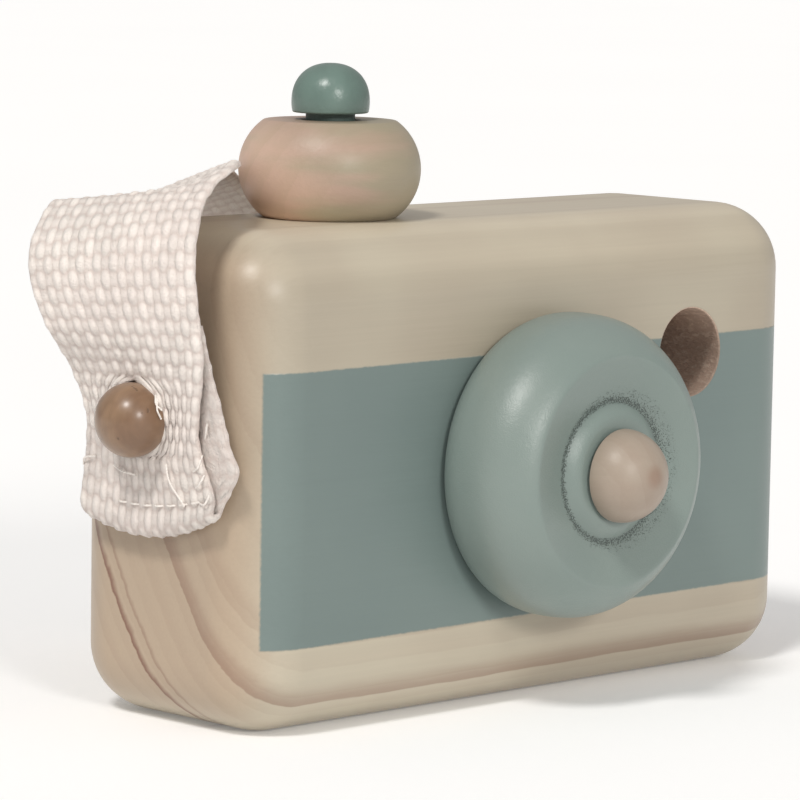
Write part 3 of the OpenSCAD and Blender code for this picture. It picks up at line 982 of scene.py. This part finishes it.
ROUTE_ON_TABLE = [
    ((-10, 6, 38), (-0.05, 1, -0.03)),
    ((-9, 6, 22), (0, 1, 0)),
    ((-4, 6, 7), (0, 1, 0)),
    ((7, 6, 1.6), (0, 1, 0)),
    ((22, 6, 1.6), (0, 1, 0)),
    ((38, 6, 1.6), (0, 1, 0)),
    ((52, 6, 1.6), (0, 1, 0)),
    ((60, 6, 3), (0, 1, 0)),
    ((63.5, 6, 7), (0, 1, 0)),
    ((60, 6, 11), (0, 1, 0)),
    ((52, 6, 10), (0, 1, 0)),
    ((38, 6, 6), (0, 1, 0)),
    ((22, 6, 5), (0, 1, 0)),
    ((9, 6, 6), (0, 1, 0)),
    ((2.5, 6, 8.5), (0, 1, 0)),
    ((0, 6, 13), (0, 1, 0)),
    ((3.5, 6, 17.5), (0, 1, 0)),
    ((11, 6, 21), (0, 1, -0.03)),
    ((20.5, 7, 28), (0.02, 1, -0.12)),
    ((30.5, 9.5, 37.5), (0.1, 1, -0.3)),
    ((39.5, 12.5, 48), (0.25, 1, -0.6)),
]
ROUTE_ROUND_SIDE = [
    ((-16, 13, -11), (0.5, 1, -0.9)),
    ((-7, 12.5, -3), (0.5, 0.4, -1.2)),
    ((-0.5, 5, -0.5), (0.25, 0.1, -1)),
]
ROUTE_RIGHT_PEG = [
    ((0, 16, 0), (0.06, 0, -1)),
    ((0, 8, 0), (0, 0, -1)),
    ((0, 0, 0), (0, 0, -1)),
    ((0, -STRAP_TAIL, 0), (0, 0, -1)),
]


LEFT_BALL = peg_ball("strap_peg_left", -1)
RIGHT_BALL = peg_ball("strap_peg_right", 1)


def strap_rows():
    """The route's rows as middle points and unit directions across, in millimetres."""
    left, right = BLOCK_LOW.x / MM, BLOCK_HIGH.x / MM
    back, top = BLOCK_HIGH.y / MM, BLOCK_HIGH.z / MM
    seat = STRAP_GAP + STRAP_T * 1.5
    knob_x = BUTTON_AXIS.x / MM
    front = LEFT_BALL[1] - STRAP_W / 2
    over = RIGHT_BALL[2] + STRAP_W / 2
    groups = (
        (ROUTE_LEFT_PEG, (left - seat, front, LEFT_BALL[2])),
        (ROUTE_OVER_CORNER, (left, front, top)),
        (ROUTE_PAST_KNOB, (knob_x - KNOB_D / 2, KNOB_D / 2, top)),
        (ROUTE_DOWN_BACK, (knob_x, back, top)),
        (ROUTE_ON_TABLE, (0, back, 0)),
        (ROUTE_ROUND_SIDE, (right, back, over)),
        (ROUTE_RIGHT_PEG, (right + seat, RIGHT_BALL[1], over)),
    )
    middles, acrosses = [], []
    for rows, anchor in groups:
        for place, across in rows:
            across = np.array(across) / np.linalg.norm(across)
            middles.append(np.array(anchor) + place + across * STRAP_W / 2)
            acrosses.append(across)
    return np.array(middles), np.array(acrosses)


def smooth_rows(rows, steps):
    """A smooth curve through the rows, carried on straight past both ends."""
    rows = np.vstack([2 * rows[0] - rows[1], rows, 2 * rows[-1] - rows[-2]])
    curve = []
    for a, b, c, d in zip(rows, rows[1:], rows[2:], rows[3:]):
        for t in np.arange(steps) / steps:
            bend = 2 * b + (c - a) * t + (2 * a - 5 * b + 4 * c - d) * t ** 2
            curve.append((bend + (3 * b - a - 3 * c + d) * t ** 3) / 2)
    return np.array(curve + [rows[-2]])


class Run:
    """The strap's single run between its folds, read by the length along it."""

    def __init__(self):
        middles, acrosses = strap_rows()
        self.middle = smooth_rows(middles, ROUTE_STEPS)
        across = smooth_rows(acrosses, ROUTE_STEPS)
        across /= np.linalg.norm(across, axis=1)[:, None]
        ahead = np.gradient(self.middle, axis=0)
        self.ahead = ahead / np.linalg.norm(ahead, axis=1)[:, None]
        out = np.cross(self.ahead, across)
        slant = np.linalg.norm(out, axis=1)[:, None]
        self.out = out / slant
        self.across = across / slant
        steps = np.linalg.norm(np.diff(self.middle, axis=0), axis=1)
        self.at = np.concatenate([[0], np.cumsum(steps)])
        self.length = self.at[-1]

    def read(self, values, at):
        """Values of the run at lengths along it."""
        return np.stack([np.interp(at, self.at, values[:, i]) for i in range(3)], axis=1)


RUN = Run()
FOLD_R = LAYER_STEP / 2
FOLD_LEAD = FOLD_R * math.pi / 2 - FOLD_R


def fold_over(at):
    """Length along the run, offset to its inner side and tilt, for lengths along the strap.

    The run starts at 0; below that the strap turns back under itself."""
    flat = np.abs(at) >= FOLD_R * math.pi / 2
    angle = np.clip(at / FOLD_R, -math.pi / 2, math.pi / 2)
    along = np.where(flat, np.abs(at) - FOLD_LEAD, FOLD_R - FOLD_R * np.cos(angle))
    return along, FOLD_R - FOLD_R * np.sin(angle), angle


BUTTONHOLE_BELOW = 5.5
BUTTONHOLE_ABOVE = 6.6
BUTTONHOLE_R = 5.2
BUTTONHOLE_POWER = 2.2
INNER_HOLE_R = 4.4
HOLE_LIP, HOLE_LIP_REACH = 1.0, 2.4
HOLE_EASE = 1.5
END_BOW = (2.4, 0.067, -0.0123)
END_BOW_REACH = 16.0
WAIST_AT, WAIST_REACH, WAIST_START = 14.0, 9.0, 6.0
WAIST_FRONT, WAIST_BACK = 4.6, 1.5
PULL_POWER = 1.3
DRAWN_IN, DRAWN_FROM, DRAWN_LENGTH = 1.3, 14.0, 10.0
LUMP_AT, LUMP_REACH, LUMP_OUT = 8.8, 3.3, 2.3
CORNER_IN, CORNER_REACH = 1.8, 3.5


def bell(value, middle, reach):
    """A smooth bump of height 1."""
    return np.exp(-(((value - middle) / reach) ** 2))


def hole_opening(along, inner):
    """Half width of a stretched buttonhole at a length along the run."""
    off = along - STRAP_TAIL
    share = np.where(off < 0, -off / BUTTONHOLE_BELOW, off / BUTTONHOLE_ABOVE)
    widest = np.where(inner, INNER_HOLE_R, BUTTONHOLE_R)
    return widest * np.sqrt(np.clip(1 - np.abs(share) ** BUTTONHOLE_POWER, 0, 1))


def weave_rise(across, at):
    """Height of the plain weave: long floats in staggered columns, cross threads between them."""
    column = across / COLUMN
    index = np.floor(column)
    beside = np.abs(column - index - 0.5) * 2
    cycle = (at / ROW + index) / 2
    from_top = np.abs(cycle - np.round(cycle)) * 2
    warp = np.clip(1 - COLUMN_DIP * beside ** 2 - (from_top / FLOAT_SHARE) ** 2, 0, 1)
    weft = np.clip(1 - WEFT_DIP * beside ** 2 - ((1 - from_top) / WEFT_SHARE) ** 2, 0, 1)
    uneven = 1 + WEAVE_UNEVEN * np.sin(index * 12.9 + np.floor(at / ROW) * 4.7)
    return WEAVE_RISE * (np.maximum(warp, WEFT_HEIGHT * weft) ** 2 * uneven - 0.5)


def edge_pull(across, along, inner):
    """Shift across the strap's buttoned end.

    The end is drawn in round its peg, and its turned-back layer sticks out."""
    front = np.clip(0.5 - across / STRAP_W, 0, 1) ** PULL_POWER
    back = np.clip(0.5 + across / STRAP_W, 0, 1) ** PULL_POWER
    waist = bell(along, WAIST_AT, WAIST_REACH) * np.clip(along / WAIST_START, 0, 1)
    corner = CORNER_IN * bell(along, 0, CORNER_REACH)
    lump = LUMP_OUT * bell(along, LUMP_AT, LUMP_REACH)
    drawn = DRAWN_IN * np.clip((along - DRAWN_FROM) / DRAWN_LENGTH, 0, 1)
    outer_pull = waist * (WAIST_FRONT * front - WAIST_BACK * back) + corner * front
    return np.where(inner, (drawn - lump + corner) * front, outer_pull)


def strap_place(across, at, side, height):
    """Places in millimetres for values across and along the strap and heights off its middle."""
    right = at > RUN.length / 2
    along, under, angle = fold_over(np.where(right, RUN.length - at, at))
    inner = angle < 0
    opening = hole_opening(along, inner)
    sign = np.where(across == 0, side, np.sign(across))
    ease = np.clip(1 - np.abs(across) / (STRAP_W / 2), 0, 1) ** HOLE_EASE
    moved = across + sign * opening * ease
    lip = HOLE_LIP * opening / BUTTONHOLE_R * bell(np.abs(moved), opening, HOLE_LIP_REACH)
    moved = moved + np.where(right, 0, edge_pull(across, along, inner))
    bow = END_BOW[0] + END_BOW[1] * across + END_BOW[2] * across ** 2
    bow = bow * np.clip(1 - along / END_BOW_REACH, 0, 1) ** 2
    run_at = np.where(right, RUN.length - along, along)
    ahead = RUN.read(RUN.ahead, run_at) * np.where(right, -1.0, 1.0)[:, None]
    out = RUN.read(RUN.out, run_at)
    face_out = out * np.sin(angle)[:, None] - ahead * np.cos(angle)[:, None]
    place = RUN.read(RUN.middle, run_at) + RUN.read(RUN.across, run_at) * moved[:, None]
    place += out * (np.where(inner, 0, lip) - under)[:, None] - ahead * bow[:, None]
    return place + face_out * height[:, None]


def strap_grid():
    """A flat grid of the whole strap in millimetres, finer where it is seen, with its UVs."""
    seen = np.arange(-STRAP_TURN, SEEN_LENGTH, ROW / SEEN_ROW_STEPS)
    rest = np.arange(SEEN_LENGTH, RUN.length + STRAP_TURN, ROW / REST_ROW_STEPS)
    rows = np.concatenate([seen, rest])
    columns = round(STRAP_W / COLUMN) * COLUMN_STEPS
    bm = bmesh.new()
    bmesh.ops.create_grid(bm, x_segments=columns, y_segments=len(rows) - 1, size=1.0)
    weave = bm.loops.layers.uv.new("weave")
    for vert in bm.verts:
        row = round((vert.co.y + 1) / 2 * (len(rows) - 1))
        column = round((vert.co.x + 1) / 2 * columns)
        vert.co = ((column / columns - 0.5) * STRAP_W, rows[row], 0)
    for face in bm.faces:
        for loop in face.loops:
            loop[weave].uv = loop.vert.co.xy
    return bm


def slit_buttonholes(bm):
    """Parts the grid's middle column at both buttonholes, through the turned-back layers too."""

    def in_slit(at):
        from_fold = min(abs(at), abs(RUN.length - at)) - FOLD_LEAD - STRAP_TAIL
        return -BUTTONHOLE_BELOW < from_fold < BUTTONHOLE_ABOVE

    slit = [
        edge for edge in bm.edges
        if all(abs(vert.co.x) < TOUCH for vert in edge.verts)
        and in_slit(sum(vert.co.y for vert in edge.verts) / 2)
    ]
    bmesh.ops.split_edges(bm, edges=slit)


def give_thickness(strap, across):
    """Makes the sheet solid, thinner towards its selvedges."""
    group = strap.vertex_groups.new(name="selvedge")
    inset = (STRAP_W / 2 - np.abs(across)) / COLUMN
    weights = np.round(0.5 + 0.5 * np.clip(inset / SELVEDGE, 0, 1) ** 0.5, 2)
    for weight in np.unique(weights):
        group.add(np.flatnonzero(weights == weight).tolist(), float(weight), "REPLACE")
    thick = strap.modifiers.new("thickness", "SOLIDIFY")
    thick.thickness = STRAP_CORE_T * MM
    thick.offset = 0.0
    thick.vertex_group = "selvedge"


def make_strap(finish):
    bm = strap_grid()
    slit_buttonholes(bm)
    side = np.sign([
        sum(face.calc_center_median().x for face in vert.link_faces) for vert in bm.verts
    ])
    mesh = smooth_mesh("strap_webbing", bm, 180)
    flat = np.empty(len(mesh.vertices) * 3)
    mesh.vertices.foreach_get("co", flat)
    across, at, _ = flat.reshape(-1, 3).T
    across = np.where(np.abs(across) < TOUCH, 0.0, across)
    place = strap_place(across, at, side, weave_rise(across, at))
    mesh.vertices.foreach_set("co", (place * MM).ravel())
    mesh.update()
    strap = add_piece("strap_webbing", mesh, finish, "camera", ["strap"])
    give_thickness(strap, across)


# Sewing

STITCH_ALONG = 3.7
STITCH_FROM, STITCH_TO = -12.5, 8.5
STITCH_STEP = 3.0
STITCH_LENGTH = 2.5
STITCH_POINTS = 7
STITCH_R = 0.16
THREAD_R = 0.15
THREAD_SIDES = 6
THREAD_STEPS = 6
ABOVE_WEAVE = 0.95
STITCH_DIP = 0.9

# Loose threads as places across and along the strap and heights off its middle.
LOOSE_THREADS = (
    ((-7.6, 9.6, 1.2), (-8.0, 7.4, 1.5), (-9.2, 5.4, 1.4), (-10.4, 3.4, 1.0)),
    ((7.5, 8.4, 1.0), (5.0, 7.9, 1.4), (1.5, 7.6, 1.0)),
    ((-15.0, 14.5, -1.6), (-16.2, 13.6, -1.4), (-17.2, 14.6, -1.0), (-17.8, 16.4, -0.8)),
    ((-3.4, 20.8, 1.2), (-4.6, 19.8, 2.2), (-5.6, 18.6, 1.8)),
    ((-4.0, 20.4, 1.4), (-5.2, 19.0, 2.5), (-5.4, 17.2, 2.0)),
    ((-13.5, 6.0, 0.6), (-15.4, 6.6, 1.2), (-16.4, 8.0, 0.4)),
    ((-13.8, 3.4, 0.6), (-15.6, 3.0, 1.2), (-16.2, 4.6, 0.6)),
    ((-14.0, 8.6, 0.6), (-16.0, 9.4, 0.8), (-16.4, 11.2, -0.4)),
    ((13.0, 9.0, 0.6), (15.2, 8.6, 1.2), (16.4, 7.2, 0.4)),
)


def on_strap(spots):
    """Places on the strap's run for (across, along, height) spots, in metres."""
    across, along, height = np.array(spots, float).T
    at = along + FOLD_LEAD
    return [Vector(p) * MM for p in strap_place(across, at, np.ones(len(at)), height)]


def add_thread(bm, points, radius):
    """A thin round thread through points."""
    loops = []
    for i, point in enumerate(points):
        way = points[min(i + 1, len(points) - 1)] - points[max(i - 1, 0)]
        matrix = Matrix.Translation(point) @ way.to_track_quat("Z", "Y").to_matrix().to_4x4()
        ring = bmesh.ops.create_circle(bm, segments=THREAD_SIDES, radius=radius, matrix=matrix)
        loops.append(list({edge for vert in ring["verts"] for edge in vert.link_edges}))
    for first, second in zip(loops, loops[1:]):
        bmesh.ops.bridge_loops(bm, edges=first + second)


def make_sewing(finish):
    """A row of stitches over the strap's left end and a few loose threads round it."""
    bm = bmesh.new()
    for across in np.arange(STITCH_FROM, STITCH_TO, STITCH_STEP):
        spots = [
            (across + STITCH_LENGTH * t / 2, STITCH_ALONG, ABOVE_WEAVE - STITCH_DIP * t ** 2)
            for t in np.linspace(-1, 1, STITCH_POINTS)
        ]
        add_thread(bm, on_strap(spots), STITCH_R * MM)
    for spots in LOOSE_THREADS:
        curve = smooth_rows(np.array(spots, float), THREAD_STEPS)
        add_thread(bm, on_strap(curve), THREAD_R * MM)
    bmesh.ops.recalc_face_normals(bm, faces=bm.faces)
    add_shape("strap_sewing", bm, finish, "camera")


# The scene

make_camera()
make_light()
make_floor(floor_finish())
make_strap(webbing_finish())
make_sewing(thread_finish())
make_block(block_finish())
make_lens(lens_finish())
make_lens_peg(turned_wood_finish(
    "lens_peg_beech", axis=1, centre=LENS_AXIS, tints=HEAD_TINTS, spacing=HEAD_RING,
    tip=node_box("lens_peg")[0].y / MM,
))
make_knob(turned_wood_finish(
    "knob_beech", axis=0, centre=BUTTON_AXIS, tints=KNOB_TINTS, spacing=KNOB_RING,
    lean=KNOB_TINT_AND_SHADE_WAY, pale=KNOB_PAINTED_LIGHT_WAY,
))
make_cap(paint_finish("button_green_paint", CAP_PAINT, CAP_ROUGHNESS, BUTTON_AXIS, CAP_PAINTED_SHADE_WAY))
peg_brown = lacquer_finish()
make_strap_peg("strap_button_left", "strap_peg_left", -1, peg_brown)
make_strap_peg("strap_button_right", "strap_peg_right", 1, peg_brown)
for node, finish in (
    ("button_plunger", paint_finish("stem_green_paint", STEM_PAINT_AND_SHADE, STEM_ROUGHNESS)),
    ("button_spring", steel_finish()),
):
    frame["nodes"][node].data.materials.clear()
    frame["nodes"][node].data.materials.append(finish)
